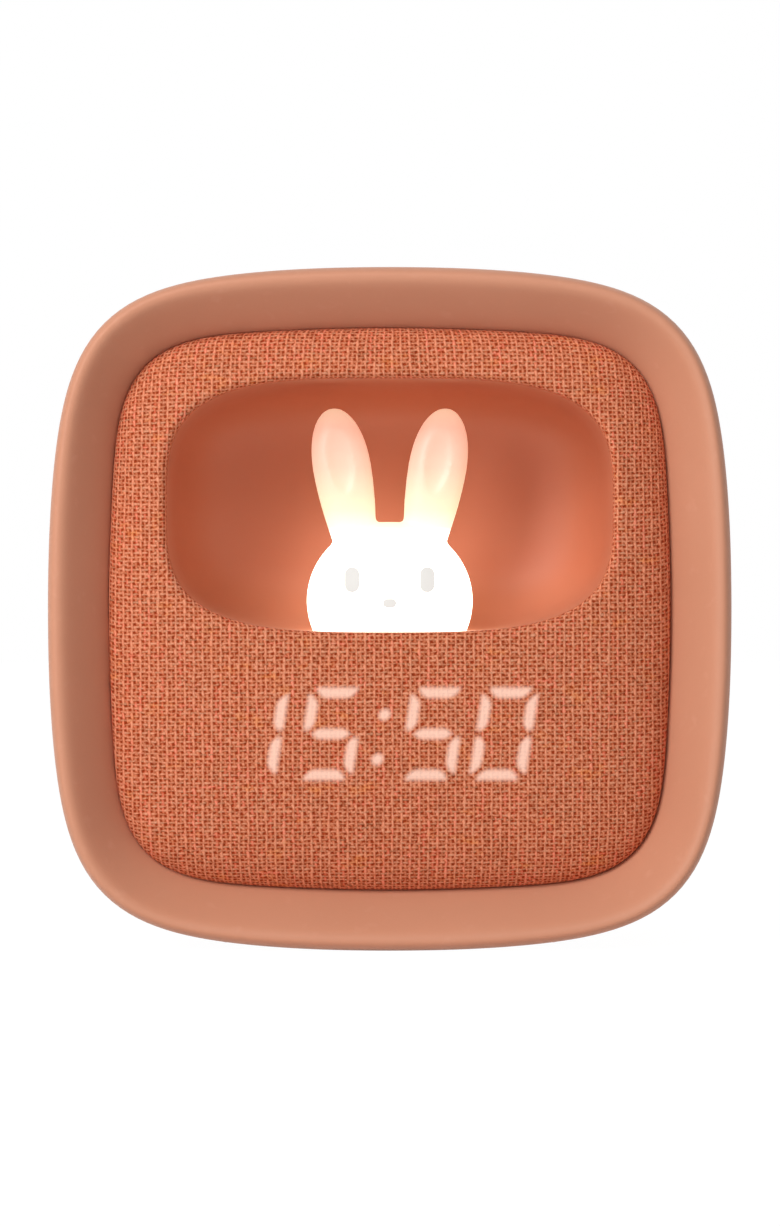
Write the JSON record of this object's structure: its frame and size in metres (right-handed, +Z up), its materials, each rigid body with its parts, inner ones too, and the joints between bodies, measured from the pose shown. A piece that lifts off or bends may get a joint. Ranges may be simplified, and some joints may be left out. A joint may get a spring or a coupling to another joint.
{
  "type": "children's alarm clock with night light",
  "caption": "Rounded square bedside clock: silicone sleeve, cloth front with a digital display behind it, and a lit rabbit in a niche.",
  "frame": {"origin": "middle of the clock's outline seen from above, on the surface it stands on", "axes": "+Z up, front facing -Y, +X to the right seen from the front"},
  "size_m": [0.1, 0.062, 0.1],
  "materials": {
    "silicone": "matt soft silicone",
    "cloth": "plain-woven melange cloth",
    "terracotta_plastic": "fine moulded texture",
    "niche_plastic": "satin",
    "glow_plastic": "translucent, lit from inside",
    "inlay_plastic": "satin",
    "white_board": "white solder mask",
    "green_board": "green solder mask",
    "led_resin": "clear resin over phosphor",
    "lit_resin": "lit diffuser resin",
    "unlit_resin": "milky resin",
    "diffuser_film": "frosted",
    "black_plastic": "moulded",
    "grey_plastic": "moulded",
    "cover_plastic": "fine spark texture",
    "chip_plastic": "matt epoxy",
    "plug_plastic": "nylon",
    "knob_plastic": "satin",
    "key_silicone": "matt",
    "steel": "zinc plated",
    "plated_steel": "nickel plated",
    "speaker_steel": "stamped",
    "paper_cone": "paper",
    "foil": "laminated foil",
    "foam": "closed-cell foam",
    "ribbon": "flat flexible cable",
    "red_wire": "insulation",
    "black_wire": "insulation",
    "white_wire": "insulation"
  },
  "bodies": {
    "casing": {"silicone_sleeve": "silicone", "front_fabric": "cloth", "front_panel": "terracotta_plastic", "panel_screws": "steel", "niche_bowl": "niche_plastic", "rabbit_diffuser": "glow_plastic", "rabbit_face_inlays": "inlay_plastic", "light_board": "white_board", "light_leds": "led_resin", "light_board_screws": "steel", "light_leads": "white_wire", "display_film": "diffuser_film", "display_housing": "black_plastic", "lit_segments": "lit_resin", "unlit_segments": "unlit_resin", "display_board": "green_board", "display_leds": "led_resin", "display_screws": "steel", "display_ribbon": "ribbon", "mid_housing": "grey_plastic", "rear_cover": "cover_plastic", "cover_screws": "steel", "main_board": "green_board", "board_screws": "steel", "microcontroller": "chip_plastic", "clock_crystal": "plated_steel", "charger_parts": "chip_plastic", "wire_plugs": "plug_plastic", "ribbon_sockets": "plug_plastic", "usb_shell": "plated_steel", "usb_tongue": "chip_plastic", "battery_cell": "foil", "battery_pad": "foam", "battery_lead_red": "red_wire", "battery_lead_black": "black_wire", "speaker_frame": "speaker_steel", "speaker_cone": "paper_cone", "speaker_magnet": "speaker_steel", "speaker_gasket": "foam", "speaker_leads": "red_wire", "key_switches": "chip_plastic", "slide_switch_body": "plated_steel"},
    "time_button": {"time_key": "key_silicone", "time_plunger": "black_plastic"},
    "alarm_button": {"alarm_key": "key_silicone", "alarm_plunger": "black_plastic"},
    "minus_button": {"minus_key": "key_silicone", "minus_plunger": "black_plastic"},
    "plus_button": {"plus_key": "key_silicone", "plus_plunger": "black_plastic"},
    "light_button": {"light_key": "key_silicone", "light_plunger": "black_plastic"},
    "alarm_slide": {"slide_knob": "knob_plastic"}
  },
  "joints": [
    {"name": "time_press", "type": "slide", "parent": "casing", "child": "time_button", "axis": [0, -1, 0], "range_m": [0, 0.0005], "stiffness_N_per_m": 400, "springref_m": -0.0005},
    {"name": "alarm_press", "type": "slide", "parent": "casing", "child": "alarm_button", "axis": [0, -1, 0], "range_m": [0, 0.0005], "stiffness_N_per_m": 400, "springref_m": -0.0005},
    {"name": "minus_press", "type": "slide", "parent": "casing", "child": "minus_button", "axis": [0, -1, 0], "range_m": [0, 0.0005], "stiffness_N_per_m": 400, "springref_m": -0.0005},
    {"name": "plus_press", "type": "slide", "parent": "casing", "child": "plus_button", "axis": [0, -1, 0], "range_m": [0, 0.0005], "stiffness_N_per_m": 400, "springref_m": -0.0005},
    {"name": "light_press", "type": "slide", "parent": "casing", "child": "light_button", "axis": [0, -1, 0], "range_m": [0, 0.0005], "stiffness_N_per_m": 400, "springref_m": -0.0005},
    {"name": "alarm_on_off", "type": "slide", "parent": "casing", "child": "alarm_slide", "axis": [1, 0, 0], "range_m": [0, 0.003]}
  ]
}
